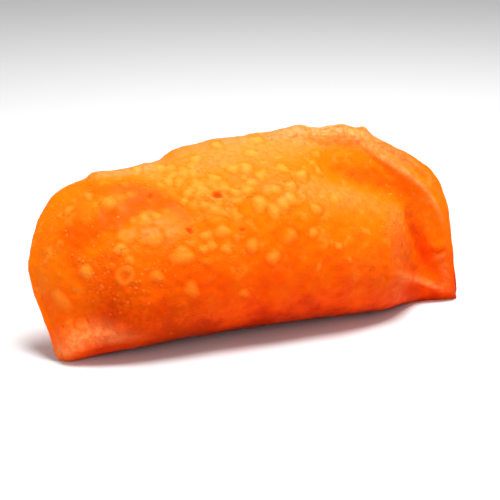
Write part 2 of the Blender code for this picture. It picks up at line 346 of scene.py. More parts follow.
RIDGE = ((55, 76.5), (61, 71), (69, 65), (78, 58.5), (85, 52), (90, 44))
SHOULDER = ((34, 68), (44, 64.5), (52, 61.5), (60, 58.5), (67, 55.5), (74, 52), (80, 47), (85, 40))
LEFT_VALLEY = ((-87, 50), (-75, 52), (-70, 55), (-63, 57), (-55, 60), (-46, 61), (-38, 59.5), (-35, 55))
POCKET = ((76.5, 37), (80.5, 29), (83, 21.5))
BACK_VALLEY = ((-60, 60), (-20, 52), (8, 38))
BACK_RIDGE = ((20, 66), (52, 60), (82, 46))
BACK_TUCK = ((-84, 42), (-76, 24), (-82, 10))
# Painted sheen and light along the up-facing top edge, where the pinched dough is also paler.
TOP_BAND = Shade(((-44, 68), (-20, 74), (12, 78), (34, 79), (52, 79)), 0.45, 5.5)
FRONT = Layer(
    outward=-1,
    bulge=(24, 31.5, 32, 29.5, 15),
    flap=(2.5, 2.5, 2.5, 8, 15.5),
    roundness=(0.74, 0.74, 0.76, 1.5, 1.6),
    creases=(
        Crease(((46, 82), *RIDGE, (93, 36), (94.5, 27)), 2.0, 2.8),
        Crease(((46, 76), (53, 72), (58, 68), (66, 61.5), (74, 55.5)), 1.1, 3.2),
        Crease(((30, 68), (42, 63.5), (49, 60.5), (56, 58), (63, 54), (69, 48.5), (73, 43)), -3.0, 6.5),
        Crease(((74, 46), *POCKET, (87, 13)), -3.2, 3.4),
        Crease(((68, 42), (71, 33), (74, 24), (78, 17)), 1.0, 4.5),
        Crease(((84, 27), (95, 22.5)), 2.8, 4.6),
        Crease(((56, 24), (63, 20), (70, 16), (78, 11.5), (87, 7), (96, 4)), 2.8, 2.4),
        Crease(((-76, 66), (-70, 61.5), (-64, 58), (-55, 60), (-48, 62), (-38, 60), (-31, 57)), -2.8, 4.2),
        Crease(((-67, 54), (-55, 55), (-46, 51), (-37, 46)), 1.8, 7.0),
        Crease(((-71, 57), (-74, 49), (-77, 44), (-80, 40)), -1.6, 4.5),
        Crease(((-97, 6), (-90, 8.5), (-82, 11), (-72, 12.5), (-58, 15)), 3.0, 4.0),
        Crease(((-88, 19), (-78, 21), (-64, 22)), -1.5, 4.5),
        Crease(((85.5, 24), (90, 23.2), (94, 24)), -1.0, 0.9),
        Crease(((86, 21.8), (90, 21.2), (94, 22)), 0.6, 1.2),
    ),
    shades=(
        # Painted sheen and light on the up-facing top edge and frill, where the pinched dough is also paler.
        TOP_BAND,
        Shade(((22, 80), (34, 80.5), (48, 80), (57, 77), (66, 72)), 0.8, 4.6),
        # Painted highlight on the ridge's crest, and painted light on the strips outside it.
        Shade(((50, 81), *RIDGE, (93, 37)), 1.1, 1.3),
        Shade(((54, 79), (62, 75), (72, 69), (82, 61.5)), 0.75, 3.4),
        Shade(((74, 69.5), (82, 63), (88, 57), (93, 48)), 0.3, 1.0),
        # Painted shade in the trough under the ridge and down the pocket's valley.
        Shade(SHOULDER, -1.1, 4.2),
        Shade(((75, 47), *POCKET, (86, 14)), -1.0, 3.2),
        # Painted light on the lit shoulder, then a paler speckled patch of crust.
        Shade(((0, 63), (19, 62), (30, 59), (41, 56.5), (51, 53.5), (60, 49)), 0.42, 4.5),
        Shade(((66, 50), (66, 43), (63, 38)), 0.36, 4.5),
        # Painted light on top of the hem, and painted shade under it.
        Shade(((56, 24), (63, 20.5), (70, 16.5), (78, 12), (87, 7.5), (96, 4.5)), 0.5, 1.7),
        Shade(((60, 16), (70, 10.5), (80, 5.5), (92, 1.5)), -0.8, 2.4),
        # A paler streak low on the right end, then painted shade and a painted highlight at the small crease
        # in the pocket.
        Shade(((92, 20), (93, 13), (93.5, 8)), 0.2, 2.0),
        Shade(((86, 24), (90, 23.2), (94, 24)), -0.9, 1.0),
        Shade(((86, 21.5), (90, 20.8), (94, 21.6)), 0.4, 1.3),
        # Painted light along the left of the top edge, painted shade in the valleys of the left end, and
        # painted light on the swelling below them.
        Shade(((-73, 68), (-60, 70), (-46, 71), (-34, 71)), 0.5, 2.6),
        Shade(LEFT_VALLEY, -1.7, 2.6),
        Shade(((-74, 61), (-69, 65), (-58, 66), (-48, 65), (-40, 62)), -0.9, 2.3),
        Shade(((-75, 65), (-78, 57), (-80, 50), (-82, 42), (-81, 33)), -0.85, 3.8),
        Shade(((-66, 51), (-57, 53), (-48, 53), (-40, 49)), 0.4, 5.0),
        # Painted highlight on the up-facing lip at the left corner, and painted shade under it.
        Shade(((-98, 2), (-91, 5), (-86, 9.5), (-80, 13.5), (-74, 14), (-67, 12), (-60, 11)), 0.72, 4.2),
        Shade(((-84, 2.5), (-76, 4), (-66, 5), (-56, 6)), -0.8, 2.0),
    ),
    seed=23,
    blisters=(
        Blister(-65, 61, 4.2, paleness=0.55),
        Blister(-71, 63, 2.4),
        Blister(-54, 57, 5.0, BlisterKind.CRESCENT),
        Blister(-61, 52, 4.2, BlisterKind.CRESCENT),
        Blister(-52, 51, 5.0, BlisterKind.CRESCENT),
        *domes((-64, 47, 3.2), (-52, 37, 3.2), (-48, 70, 2.6), (-38, 70, 2.8), (-32, 64, 2.6)),
        Blister(-40, 43, 4.8, rise=0.26),
        *domes((-38, 30, 3.8), (-31, 45, 2.4)),
        Blister(-23, 57, 5.4, BlisterKind.CRESCENT),
        *domes((-22, 51, 3.2), (-29, 50, 2.6), (-23, 74, 2.8), (-21, 44, 2.6), (-11, 77, 2.8), (-9, 71, 3.0)),
        *domes((-4, 71, 3.4), (7, 78, 3.2), (2, 75, 3.0), (12, 70, 3.0), (20, 67, 3.4), (30, 67, 2.4)),
        *domes((1, 68, 3.2), (-7, 64, 3.2), (13, 64, 3.0), (-3, 59, 4.0), (2, 56, 3.8), (7, 58, 3.8)),
        *domes((11, 60, 3.4), (22, 55, 3.0), (33, 57, 2.6)),
        Blister(6, 47, 4.6, BlisterKind.CRESCENT),
        *domes((18, 47, 2.6), (-10, 45, 3.4), (-2, 39, 3.4), (29, 40, 2.0), (19, 33, 1.8), (-15, 26, 2.4)),
        Blister(-78, 38, 3.6),
        Blister(-89, 24, 6.0, BlisterKind.CRESCENT, 0.12),
        Blister(-82, 17, 3.0, BlisterKind.CRESCENT, 0.1, 0.4),
        Blister(-64, 37, 4.4, BlisterKind.RING, 0.14),
        Blister(-47, 63, 1.9, BlisterKind.BURST),
        Blister(-20, 63, 3.0, BlisterKind.BURST),
        Blister(-35, 52, 2.4, BlisterKind.BURST),
        Blister(-13, 51, 1.6, BlisterKind.BURST),
    ),
    stains=(
        # Browned dough, and at (-60, 17) and (-44, 13) broad painted shade along the bottom.
        *stains((-68, 25, 11, 0.65), (-61, 30, 8, 0.45), (-60, 17, 12, 0.65), (-44, 13, 16, 0.65)),
        *stains((-52, 60, 6, 0.25), (-65, 57, 4.5, 0.25), (65, 32, 2.6, 0.6), (74, 18, 3.2, 0.65)),
        *stains((63, 25, 10, 0.5), (50, 24, 11, 0.32), (66, 35, 6, 0.3), (-38, 36, 4.0, 0.3)),
    ),
)
BACK = Layer(
    outward=1,
    bulge=(12, 19, 20, 18.5, 9.5),
    flap=(9, 9, 9, 10.5, 18.5),
    roundness=(0.95, 0.95, 0.95, 0.95, 0.95),
    creases=(
        Crease(BACK_VALLEY, -1.8, 6.0),
        Crease(BACK_RIDGE, 1.6, 4.5),
        Crease(BACK_TUCK, -1.8, 4.0),
    ),
    shades=(
        # Painted light on the top band and the ridge, painted shade in the valley and the tuck.
        TOP_BAND,
        Shade(BACK_VALLEY, -0.6, 5.0),
        Shade(BACK_RIDGE, 0.35, 4.0),
        Shade(BACK_TUCK, -0.7, 4.0),
    ),
    seed=31,
    blisters=(
        Blister(-48, 30, 4.4, BlisterKind.RING, 0.14),
        Blister(24, 46, 2.6, BlisterKind.BURST),
        Blister(-12, 56, 2.0, BlisterKind.BURST),
        Blister(52, 30, 4.8, rise=0.26),
        Blister(-66, 44, 4.2, BlisterKind.CRESCENT),
        Blister(8, 28, 3.8, BlisterKind.CRESCENT),
    ),
    stains=stains((38, 22, 12, 0.5), (-30, 40, 7, 0.35), (-70, 30, 5, 0.35)),
)


@dataclass(frozen=True)
class Scatter:
    """How a layer's small blisters are strewn: most of them where they crowd, and many beside another one."""

    count: int = 200
    radius: Pair = (0.8, 3.2)
    skew: float = 2.2
    clustered: float = 0.55
    apart: Pair = (0.7, 1.3)
    x: Pair = (-94, 82)
    z: Pair = (5, 80)
    crescents: float = 0.3
    rise: Pair = (0.10, 0.22)
    paleness: Pair = (0.5, 0.95)
    fewest: float = 0.05
    crowd_middle: Pair = (-24, 64)
    crowd_reach: Pair = (40, 13)
    off_seam: float = 2

    def strew(self, layer: Layer, seam: Array) -> list[Blister]:
        """Draws the blisters of one layer.

        Args:
            layer: The layer.
            seam: Points of the sealed edge, in metres.

        Returns:
            The blisters.
        """
        draw = random.Random(layer.seed + 100)
        found = list(layer.blisters)
        named = len(found)
        least, most = self.radius
        while len(found) < named + self.count:
            radius = least + (most - least) * draw.random() ** self.skew
            if found and draw.random() < self.clustered:
                mate = draw.choice(found)
                turn, apart = draw.uniform(0, FULL_TURN), draw.uniform(*self.apart) * (mate.radius + radius)
                x, z = mate.x + apart * math.cos(turn), mate.z + apart * math.sin(turn)
            else:
                x, z = draw.uniform(*self.x), draw.uniform(*self.z)
            kind = BlisterKind.CRESCENT if draw.random() < self.crescents else BlisterKind.DOME
            over = (x - self.crowd_middle[0]) / self.crowd_reach[0]
            up = (z - self.crowd_middle[1]) / self.crowd_reach[1]
            keep = self.fewest + (1 - self.fewest) * math.exp(-(up**2)) * math.exp(-(over**2))
            top = np.interp(x * MM, seam[:, 0], seam[:, 1]) / MM - self.off_seam
            if z < top and draw.random() < keep:
                rise, paleness = draw.uniform(*self.rise), draw.uniform(*self.paleness)
                found.append(Blister(x, z, radius, kind, rise, paleness))
        return found[named:]


@dataclass
class Skin:
    """The shell's surface while it is being made: a grid of rings, and what is known at each point."""

    points: Array
    edge: Array
    tone: Array
    share: Array
    side: Array

    def __post_init__(self) -> None:
        """Starts every mask at nothing."""
        self.masks = {name: np.zeros(self.edge.shape) for name in ("blister", "hole", "stain")}


@dataclass
class DoughShell:
    """The turnover's dough: two layers on one fold, sealed along the half-moon."""

    outline: HalfMoon = field(default_factory=HalfMoon)
    stations: Stations = field(default_factory=Stations)
    layers: tuple[Layer, Layer] = (FRONT, BACK)
    flap_half: float = 1.6
    flap_edge_half: float = 0.8
    belly_reach: tuple[float, ...] = (47, 47, 47, 48, 36)
    belly_height: float = 25
    belly_drop: float = 25.7
    seam_height: float = 81
    seam_lean: float = 17
    edge_curl: tuple[float, ...] = (6, 6, 6, 0, 0)
    curl_width: float = 14
    curl_from: Pair = (12, 34)
    fold_bow: float = 5
    bow_reach: Pair = (60, 36)
    left_flare: float = 12
    left_reach: Pair = (26, 20)
    right_flare: float = 6
    right_reach: Pair = (17, 26)
    flap_sway: float = 1.2
    sway_lengths: Pair = (11, 17)
    sway_start: float = 1.3
    sway_fades: Pair = (4, 20)
    flap_tapers: Pair = (0, 3)
    hem_half: tuple[float, ...] = (1.8, 0.6, 0, 0.6, 3)
    hem_middle: float = 6
    hem_rise: float = 5.5
    hem_starts: Pair = (0, 4)
    relief_starts: Pair = (0, 4)
    relief_off_floor: Pair = (0, 8)
    lumps_a_side: int = 26
    lump_x: Pair = (-80, 80)
    lump_z: Pair = (8, 66)
    lump_radius: Pair = (9, 17)
    lump_rise: Pair = (-1.0, 1.3)
    small_blisters: Scatter = field(default_factory=Scatter)
    lobes: Triple = (0.14, 0.09, 0.03)
    # Painted shade in a ring round each blister: its strength, and the ring's place and width as shares of
    # the radius.
    blister_rim_shade: float = 0.35
    blister_rim_shade_ring: Pair = (1.1, 0.22)
    halo_reach: float = 1.3
    ripple: float = 0.15
    ripple_at_edge: float = 0.25
    ripple_grows: Pair = (0, 7)
    ripple_lengths: Pair = (3.5, 13)
    ripple_seed: int = 7
    crumb: Pair = (0.04, 0.10)
    crumb_lengths: Pair = (1.3, 3.2)
    crumb_seed: int = 8
    waves: int = 36
    off_floor: Pair = (0.3, 5)
    pleat: float = 0.16
    pleat_length: float = 5
    pleat_sway: float = 2.2
    pleat_sway_length: float = 9
    pleat_middle: float = 44
    pleat_spread: float = 19
    pleat_fades: Pair = (2, 8)
    rings: int = 380
    ring_span: Pair = (0.05, 0.955)
    ring_ease: float = 0.45
    steps_up: int = 125
    climb_ease: float = 0.055
    steps_under: int = 7
    softness: float = 0.3

    def __post_init__(self) -> None:
        """Draws the seam once, for every distance measured to it."""
        self.seam = self.outline.seam()
        self.seam_spacing = float(np.linalg.norm(self.seam[1] - self.seam[0]))

    def seam_distance(self, x: Array, z: Array) -> Array:
        """Measures how far places are from the seam, with no crease where two stretches are equally near.

        Args:
            x: Places along the turnover, in metres.
            z: Heights, in metres.

        Returns:
            The soft distance, from the fifth powers of closeness, in metres.
        """
        closeness = np.zeros(x.shape)
        soft = (self.softness * self.seam_spacing) ** 2
        for seam_x, seam_z in self.seam:
            closeness += 1 / np.sqrt((x - seam_x) ** 2 + (z - seam_z) ** 2 + soft) ** 5
        return (4 / 3 / (self.seam_spacing * closeness)) ** 0.25

    @staticmethod
    def swell(x: Array, z: Array, amount: float, middle: float, reach: Pair) -> Array:
        """Makes a soft swelling low on the fold, by its amount, its middle's x, its width and its height."""
        return amount * MM * bump(x, middle * MM, reach[0] * MM) * bump(z, 0, reach[1] * MM)

    def plane_y(self, x: Array, z: Array, edge: Array) -> Array:
        """Places the seam's plane, which leans and curls back at the top, with corners flared to the front.

        Args:
            x: Places along the turnover, in metres.
            z: Heights, in metres.
            edge: Distances from the seam, in metres.

        Returns:
            The plane's y, in metres.
        """
        lean = self.seam_lean * MM * (np.clip(z, 0, None) / (self.seam_height * MM)) ** 2
        near_edge = np.clip(1 - edge / (self.curl_width * MM), 0, 1) ** 2 * ramp(self.curl_from, z)
        curl = self.stations.size(x, self.edge_curl) * MM * near_edge
        bow = self.swell(x, z, self.fold_bow, 0, self.bow_reach)
        left = self.swell(x, z, self.left_flare, self.outline.left_corner[0], self.left_reach)
        right = self.swell(x, z, self.right_flare, self.outline.right_corner[0], self.right_reach)
        along, up = x / (self.sway_lengths[0] * MM), z / (self.sway_lengths[1] * MM)
        sway = self.flap_sway * MM * np.sin(along) * np.sin(up + self.sway_start)
        return lean + curl + bow - left - right + sway * (1 - ramp(self.sway_fades, edge))

    def half_thickness(self, x: Array, z: Array, edge: Array, layer: Layer) -> Array:
        """Measures how far one layer's dough stands off the seam's plane.

        Args:
            x: Places along the turnover, in metres.
            z: Heights, in metres.
            edge: Distances from the seam, in metres.
            layer: The layer.

        Returns:
            The stand-off, in metres.
        """
        reach = self.stations.size(x, self.belly_reach)
        inward = np.clip((edge / MM - self.stations.size(x, layer.flap)) / reach, 0, 1)
        rise = (1 - (1 - inward) ** 2) ** self.stations.size(x, layer.roundness)
        below = np.clip((self.belly_height - z / MM) / self.belly_drop, 0, 1)
        settled = np.sqrt(1 - below**2)
        flap = self.flap_edge_half + (self.flap_half - self.flap_edge_half) * ramp(self.flap_tapers, edge)
        low = bump(z, self.hem_middle * MM, self.hem_rise * MM)
        hem = self.stations.size(x, self.hem_half) * ramp(self.hem_starts, edge) * low
        return MM * (flap + hem + self.stations.size(x, layer.bulge) * rise * settled)

    def lumps(self, x: Array, z: Array, seed: int) -> Array:
        """Adds up the low rise and fall of the dough over its filling.

        Args:
            x: Places along the turnover, in metres.
            z: Heights, in metres.
            seed: The layer's seed.

        Returns:
            The relief, in metres.
        """
        draw = random.Random(seed)
        relief = np.zeros(x.shape)
        for _ in range(self.lumps_a_side):
            centre_x = draw.uniform(*self.lump_x) * MM
            centre_z = draw.uniform(*self.lump_z) * MM
            radius = draw.uniform(*self.lump_radius) * MM
            rise = draw.uniform(*self.lump_rise) * MM
            relief += rise * np.exp(-((x - centre_x) ** 2 + (z - centre_z) ** 2) / radius**2)
        return relief

    def layer_points(self, layer: Layer, share: Array, climb: Array) -> tuple[Array, Array, Array]:
        """Lays out one layer.

        Args:
            layer: The layer.
            share: Where the rings are, from corner to corner.
            climb: Where the points of a ring are, from the fold to the seam.

        Returns:
            The points, their distances from the seam, in metres, and the tone of painted light and shade that
            the shades give them.
        """
        left = np.array(self.outline.left_corner) * MM
        right = np.array(self.outline.right_corner) * MM
        fold_x = left[0] + share * (right[0] - left[0])
        from_corner = np.minimum(fold_x - left[0], right[0] - fold_x)
        fold_z = left[1] * (1 - smooth_step(0, self.outline.fold_settles * MM, from_corner))
        fold = np.stack([fold_x, fold_z], axis=1)
        at, known = share * (self.outline.samples - 1), range(self.outline.samples)
        seam = np.stack([np.interp(at, known, self.seam[:, axis]) for axis in (0, 1)], axis=1)
        place = fold[:, None] + climb[None, :, None] * (seam - fold)[:, None]
        x, z = place[..., 0], place[..., 1]
        edge = self.seam_distance(x, z)
        grown = ramp(self.relief_off_floor, z) * ramp(self.relief_starts, edge)
        relief = MM * sum(crease.spread(x, z) for crease in layer.creases) + self.lumps(x, z, layer.seed)
        tone = sum(shade.spread(x, z) for shade in layer.shades)
        stand = self.half_thickness(x, z, edge, layer) + grown * relief
        return np.stack([x, self.plane_y(x, z, edge) + layer.outward * stand, z], axis=-1), edge, tone

    def skin(self) -> Skin:
        """Joins both layers and the strip under them into closed rings.

        Returns:
            The plain surface, over the middle of its box's base.
        """
        eased = (1 - np.cos(np.linspace(*self.ring_span, self.rings) * math.pi)) / 2
        even = np.linspace(eased[0], eased[-1], self.rings)
        share = self.ring_ease * eased + (1 - self.ring_ease) * even
        even = np.linspace(0, 1, self.steps_up)
        climb = even - self.climb_ease * np.sin(2 * math.pi * even)
        front, front_edge, front_tone = self.layer_points(self.layers[0], share, climb[::-1])
        back, back_edge, back_tone = self.layer_points(self.layers[1], share, climb)
        across = np.linspace(0, 1, self.steps_under + 2)[1:-1, None]
        under = front[:, -1:] + across[None] * (back[:, :1] - front[:, -1:])
        under_edge = np.repeat(front_edge[:, -1:], self.steps_under, axis=1)
        none = np.zeros(under_edge.shape)
        points = np.concatenate([front, under, back], axis=1)
        low = points.min(axis=(0, 1))
        middle = (low + points.max(axis=(0, 1))) / 2
        self.shift = np.array((middle[0], middle[1], low[2]))
        plain = np.zeros(front_edge.shape)
        side = np.concatenate([plain - 1, none, plain + 1], axis=1)
        edge = np.concatenate([front_edge, under_edge, back_edge], axis=1)
        tone = np.concatenate([front_tone, none, back_tone], axis=1)
        return Skin(points - self.shift, edge, tone, np.repeat(share[:, None], edge.shape[1], axis=1), side)

    @staticmethod
    def normals(points: Array) -> Array:
        """Finds which way each point of the rings faces.

        Args:
            points: The rings' points.

        Returns:
            Unit vectors that point out of the dough.
        """
        round_ring = np.roll(points, -1, axis=1) - np.roll(points, 1, axis=1)
        along = np.gradient(points, axis=0)
        across = np.cross(round_ring, along)
        return across / np.maximum(np.linalg.norm(across, axis=-1), 1e-12)[..., None]

    def outline_lobes(self, u: Array, v: Array, turn: float, start: float) -> Array:
        """Measures how far a bubble's outline is from round.

        Args:
            u: Places to the right of the bubble's middle.
            v: Places above it.
            turn: Where the two lobes start.
            start: Where the three lobes start.

        Returns:
            The share by which each place is further away.
        """
        around = np.arctan2(v, u)
        two, three, five = self.lobes
        broad = two * np.sin(2 * around + turn) + three * np.sin(3 * around + start)
        return broad + five * np.sin(5 * around)

    def raise_blisters(self, skin: Skin) -> Array:
        """Works out the relief of every blister, marks it in the masks, and paints shade in a ring round it.

        Args:
            skin: The surface, whose masks are filled in and whose tone gets the painted shade round the
                blisters.

        Returns:
            The rise of each point, in metres.
        """
        flat = skin.points.reshape(-1, 3)
        facing = self.normals(skin.points).reshape(-1, 3)
        height = np.zeros(len(flat))
        blister, hole, blister_rim_shade = np.zeros(len(flat)), np.zeros(len(flat)), np.zeros(len(flat))
        for layer in self.layers:
            mine = np.flatnonzero(skin.side.reshape(-1) == layer.outward)
            tree = KDTree(len(mine))
            for index in mine:
                tree.insert(flat[index], int(index))
            tree.balance()
            spread = flat[mine][:, (0, 2)] + self.shift[[0, 2]]
            draw = random.Random(layer.seed + 200)
            for bubble in (*layer.blisters, *self.small_blisters.strew(layer, self.seam)):
                radius = bubble.radius * MM
                gap = spread - np.array((bubble.x, bubble.z)) * MM
                centre = mine[(gap**2).sum(axis=1).argmin()]
                reach = self.halo_reach * bubble.radius * MM
                found = np.array([index for _, index, _ in tree.find_range(flat[centre], reach)])
                out = flat[found] - flat[centre]
                right = np.cross(facing[centre], UPWARD)
                right /= np.linalg.norm(right)
                up = np.cross(right, facing[centre])
                u, v = out @ right / radius, out @ up / radius
                turn, start = draw.uniform(0, FULL_TURN), draw.uniform(0, FULL_TURN)
                away = np.hypot(u, v) * (1 + self.outline_lobes(u, v, turn, start) * bubble.unevenness())
                rise, is_blister, is_hole = bubble.profile(away, u * math.cos(turn) + v * math.sin(turn))
                rise = rise * bubble.radius * MM
                height[found] = np.where(np.abs(rise) > np.abs(height[found]), rise, height[found])
                blister[found] = np.maximum(blister[found], is_blister * bubble.strength())
                hole[found] = np.maximum(hole[found], is_hole)
                blister_rim_shade[found] = np.maximum(blister_rim_shade[found], self.blister_rim_shade * bump(away, *self.blister_rim_shade_ring))
        skin.masks["blister"] = blister.reshape(skin.edge.shape)
        skin.masks["hole"] = hole.reshape(skin.edge.shape)
        # Painted shade round each blister, where there is no blister.
        skin.tone = skin.tone - (blister_rim_shade * (1 - blister)).reshape(skin.edge.shape)
        return height.reshape(skin.edge.shape)

    def brown(self, skin: Skin) -> None:
        """Marks the browned patches, and the patches of painted shade low on the front, in the skin's masks.

        Args:
            skin: The surface, whose stain mask is filled in.
        """
        x, z = (skin.points + self.shift)[..., 0], (skin.points + self.shift)[..., 2]
        for layer in self.layers:
            for stain in layer.stains:
                away = (x - stain.x * MM) ** 2 + (z - stain.z * MM) ** 2
                patch = np.exp(-away / (stain.radius * MM) ** 2)
                patch = np.where(skin.side == layer.outward, stain.depth * patch, 0)
                skin.masks["stain"] = np.maximum(skin.masks["stain"], patch)

    def ripples(self, points: Array, lengths: Pair, seed: int) -> Array:
        """Adds up low seeded waves in every direction, for dough that is nowhere quite even.

        Args:
            points: The rings' points.
            lengths: The shortest and longest wave, in mm.
            seed: The seed of the waves.

        Returns:
            The rise of each point, as a share of the waves' usual height.
        """
        draw = random.Random(seed)
        rise = np.zeros(points.shape[:-1])
        for _ in range(self.waves):
            way = np.array([draw.gauss(0, 1) for _ in range(3)])
            way *= 2 * math.pi / (np.linalg.norm(way) * draw.uniform(*lengths) * MM)
            rise += np.sin(points @ way + draw.uniform(0, FULL_TURN))
        return rise / math.sqrt(self.waves / 2)

    def pleats(self, skin: Skin) -> Array:
        """Works out the small dents that pinching left along the sealed edge.

        Args:
            skin: The surface.

        Returns:
            The rise of each point, in metres.
        """
        walked = skin.share * (self.outline.samples - 1) * self.seam_spacing
        sway = self.pleat_sway * np.sin(walked / (self.pleat_sway_length * MM))
        wave = np.sin(2 * math.pi * walked / (self.pleat_length * MM) + sway)
        on_frill = bump(skin.points[..., 0] + self.shift[0], self.pleat_middle * MM, self.pleat_spread * MM)
        return self.pleat * MM * wave * on_frill * (1 - ramp(self.pleat_fades, skin.edge))

    def build(self) -> bpy.types.Object:
        """Makes the shell's mesh, with its masks as attributes.

        Returns:
            The shell, in place on its CAD body.
        """
        skin = self.skin()
        off_floor = ramp(self.off_floor, skin.points[..., 2])
        inner = self.ripple_at_edge + (1 - self.ripple_at_edge) * ramp(self.ripple_grows, skin.edge)
        ripples = self.ripples(skin.points, self.ripple_lengths, self.ripple_seed) * self.ripple * inner
        crumbs = self.crumb[0] + (self.crumb[1] - self.crumb[0]) * np.clip(skin.tone, 0, 1)
        crumbs = self.ripples(skin.points, self.crumb_lengths, self.crumb_seed) * crumbs
        height = self.raise_blisters(skin) + (ripples + crumbs) * MM + self.pleats(skin)
        self.brown(skin)
        points = skin.points + self.normals(skin.points) * (height * off_floor)[..., None]
        count, around = skin.edge.shape
        corner = np.arange(count * around).reshape(count, around)
        here, after = corner[:-1], corner[1:]
        walls = np.stack([here, np.roll(here, -1, axis=1), np.roll(after, -1, axis=1), after], axis=-1)
        faces = [*walls.reshape(-1, 4).tolist(), corner[0][::-1].tolist(), corner[-1].tolist()]
        shell = add_piece("dough_shell", points.reshape(-1, 3).tolist(), faces)
        # The pale mask carries painted light and highlights, with a few paler patches of crust; the fold mask
        # carries painted shade in creases, valleys, under ledges and round blisters.
        masks = {**skin.masks, "pale": np.clip(skin.tone, 0, 1), "fold": np.clip(-skin.tone, 0, 1)}
        for name, values in masks.items():
            flat = values.reshape(-1).astype(np.float32)
            shell.data.attributes.new(name, "FLOAT", "POINT").data.foreach_set("value", flat)
        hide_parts(SOLID)
        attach(shell, BODY)
        return shell


@dataclass(frozen=True)
class BubblePatch:
    """Where fine bubbles crowd together on the front, and how many there are."""

    x: float
    z: float
    spread: float
    count: int


@dataclass
class FineBubbles:
    """The finest bubbles, under a millimetre, which stand on the dough as a pale speckle."""

    patches: tuple[BubblePatch, ...] = (BubblePatch(-68, 40, 14, 90), BubblePatch(64, 43, 6.5, 130))
    anywhere: int = 30
    radius: Pair = (0.30, 0.75)
    flatness: float = 0.25
    dome_rings: tuple[Pair, ...] = ((1.0, -0.35), (0.92, 0.25), (0.55, 0.75))
    facing_out: float = 0.45
    above_floor: float = 10
    sides: int = 8
    seed: int = 61

    def build(self, shell: bpy.types.Object, shift: Array) -> bpy.types.Object:
        """Sets the bubbles on the shell's points.

        Args:
            shell: The dough shell.
            shift: From the shell's frame to the frame of the patches, in metres.

        Returns:
            The bubbles as one piece, in place on the shell's CAD body.
        """
        mesh = shell.data
        flat = np.empty(len(mesh.vertices) * 3, np.float32)
        facing = np.empty(len(mesh.vertices) * 3, np.float32)
        mesh.vertices.foreach_get("co", flat)
        mesh.vertex_normals.foreach_get("vector", facing)
        flat, facing = flat.reshape(-1, 3), facing.reshape(-1, 3)
        draw = np.random.default_rng(self.seed)
        clear = flat[:, 2] > self.above_floor * MM
        open_air = np.flatnonzero((np.abs(facing[:, 1]) > self.facing_out) & clear)
        chosen = [draw.choice(open_air, self.anywhere, replace=False)]
        front = np.flatnonzero((facing[:, 1] < -self.facing_out) & clear)
        for patch in self.patches:
            gap = flat[front][:, (0, 2)] + shift[[0, 2]] - np.array((patch.x, patch.z)) * MM
            weight = np.exp(-(gap**2).sum(axis=1) / (patch.spread * MM) ** 2)
            chosen.append(draw.choice(front, patch.count, replace=False, p=weight / weight.sum()))
        chosen = np.unique(np.concatenate(chosen))
        size = draw.uniform(*self.radius, len(chosen)) * MM
        piece = add_piece("fine_bubbles", *self.dome_mesh(flat[chosen], facing[chosen], size))
        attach(piece, BODY)
        return piece

    def dome_mesh(self, centres: Array, facing: Array, size: Array) -> tuple[list, list]:
        """Makes closed flattened domes, sunk a little into the dough.

        Args:
            centres: The domes' middles.
            facing: Which way each one faces.
            size: Their radii, in metres.

        Returns:
            The corners and the faces.
        """
        angle = np.arange(self.sides) * 2 * math.pi / self.sides
        corners, faces = [], []
        for centre, out, radius in zip(centres, facing, size):
            right = np.cross(out, (0.3, 0.9, 0.2))
            right /= np.linalg.norm(right)
            up = np.cross(out, right)
            first = len(corners)
            for width, height in self.dome_rings:
                for turn in angle:
                    way = right * math.cos(turn) + up * math.sin(turn)
                    corners.append(centre + radius * (width * way + self.flatness * height * out))
            corners.append(centre + radius * self.flatness * out)
            top = len(corners) - 1
            for level in range(len(self.dome_rings) - 1):
                for k in range(self.sides):
                    a = first + level * self.sides + k
                    b = first + level * self.sides + (k + 1) % self.sides
                    faces.append((a, b, b + self.sides, a + self.sides))
            last = first + (len(self.dome_rings) - 1) * self.sides
            faces.extend((last + k, last + (k + 1) % self.sides, top) for k in range(self.sides))
            faces.append(tuple(first + k for k in reversed(range(self.sides))))
        return corners, faces


def new_material(name: str) -> tuple[bpy.types.Material, Board, bpy.types.bpy_prop_collection]:
    """Starts a material.

    Args:
        name: The material's name.

    Returns:
        The material, its board and its shader's inputs.
    """
    material = bpy.data.materials.new(name)
    material.use_nodes = True
    return material, Board(material.node_tree), material.node_tree.nodes["Principled BSDF"].inputs


